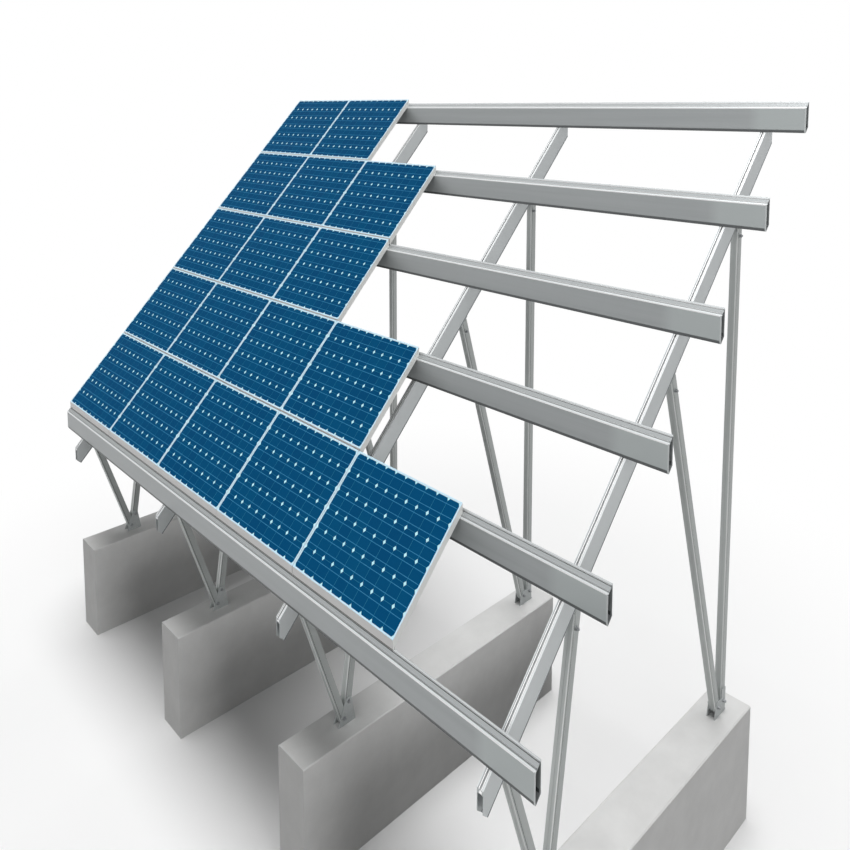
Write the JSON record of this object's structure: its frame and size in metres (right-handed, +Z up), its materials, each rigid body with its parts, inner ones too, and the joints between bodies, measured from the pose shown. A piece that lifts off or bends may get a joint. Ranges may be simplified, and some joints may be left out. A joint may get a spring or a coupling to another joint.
{
  "type": "solar panel mounting structure",
  "caption": "Ground-mounted rack of footings, braced legs, sloping rafters and rails, partly covered with framed blue solar panels.",
  "frame": {"origin": "middle of the footprint's box, on the ground under the footings", "axes": "+X along the rails, away from the panels' flush end; +Y uphill, from the low front rail to the high back rail; +Z up"},
  "size_m": [8.46, 4.2702, 7.4687],
  "materials": {
    "concrete": "cast concrete, fine pores",
    "rail_aluminium": "mill-finish extrusion, satin",
    "rafter_aluminium": "mill-finish extrusion, satin",
    "strut_aluminium": "mill-finish channel, satin",
    "bracket_aluminium": "cut and bent plate, satin",
    "frame_aluminium": "clear anodised, pale silver",
    "cell_glass": "toughened glass over dark blue cells",
    "bolt_steel": "bright zinc plated",
    "box_plastic": "black moulded, matt"
  },
  "bodies": {
    "root": {"footing_1": "concrete", "footing_2": "concrete", "footing_3": "concrete", "footing_4": "concrete", "rafter_1": "rafter_aluminium", "rafter_2": "rafter_aluminium", "rafter_3": "rafter_aluminium", "rafter_4": "rafter_aluminium", "rail_1": "rail_aluminium", "rail_2": "rail_aluminium", "rail_3": "rail_aluminium", "rail_4": "rail_aluminium", "rail_5": "rail_aluminium", "rail_6": "rail_aluminium", "front_strut_1": "strut_aluminium", "front_strut_2": "strut_aluminium", "front_strut_3": "strut_aluminium", "front_strut_4": "strut_aluminium", "mid_strut_1": "strut_aluminium", "mid_strut_2": "strut_aluminium", "mid_strut_3": "strut_aluminium", "mid_strut_4": "strut_aluminium", "rear_leg_1": "strut_aluminium", "rear_leg_2": "strut_aluminium", "rear_leg_3": "strut_aluminium", "rear_leg_4": "strut_aluminium", "diagonal_brace_1": "strut_aluminium", "diagonal_brace_2": "strut_aluminium", "diagonal_brace_3": "strut_aluminium", "diagonal_brace_4": "strut_aluminium", "panel_frame_1": "frame_aluminium", "panel_frame_2": "frame_aluminium", "panel_frame_3": "frame_aluminium", "panel_frame_4": "frame_aluminium", "panel_frame_5": "frame_aluminium", "panel_frame_6": "frame_aluminium", "panel_frame_7": "frame_aluminium", "panel_frame_8": "frame_aluminium", "panel_frame_9": "frame_aluminium", "panel_frame_10": "frame_aluminium", "panel_frame_11": "frame_aluminium", "panel_frame_12": "frame_aluminium", "panel_frame_13": "frame_aluminium", "panel_frame_14": "frame_aluminium", "panel_frame_15": "frame_aluminium", "panel_frame_16": "frame_aluminium", "panel_frame_17": "frame_aluminium", "laminate_row_1": "cell_glass", "laminate_row_2": "cell_glass", "laminate_row_3": "cell_glass", "laminate_row_4": "cell_glass", "laminate_row_5": "cell_glass", "front_foot_brackets": "bracket_aluminium", "rear_foot_brackets": "bracket_aluminium", "rafter_clevises": "bracket_aluminium", "rail_cleats": "bracket_aluminium", "cross_bolts": "bolt_steel", "cleat_bolts": "bolt_steel", "junction_boxes": "box_plastic"}
  },
  "joints": []
}
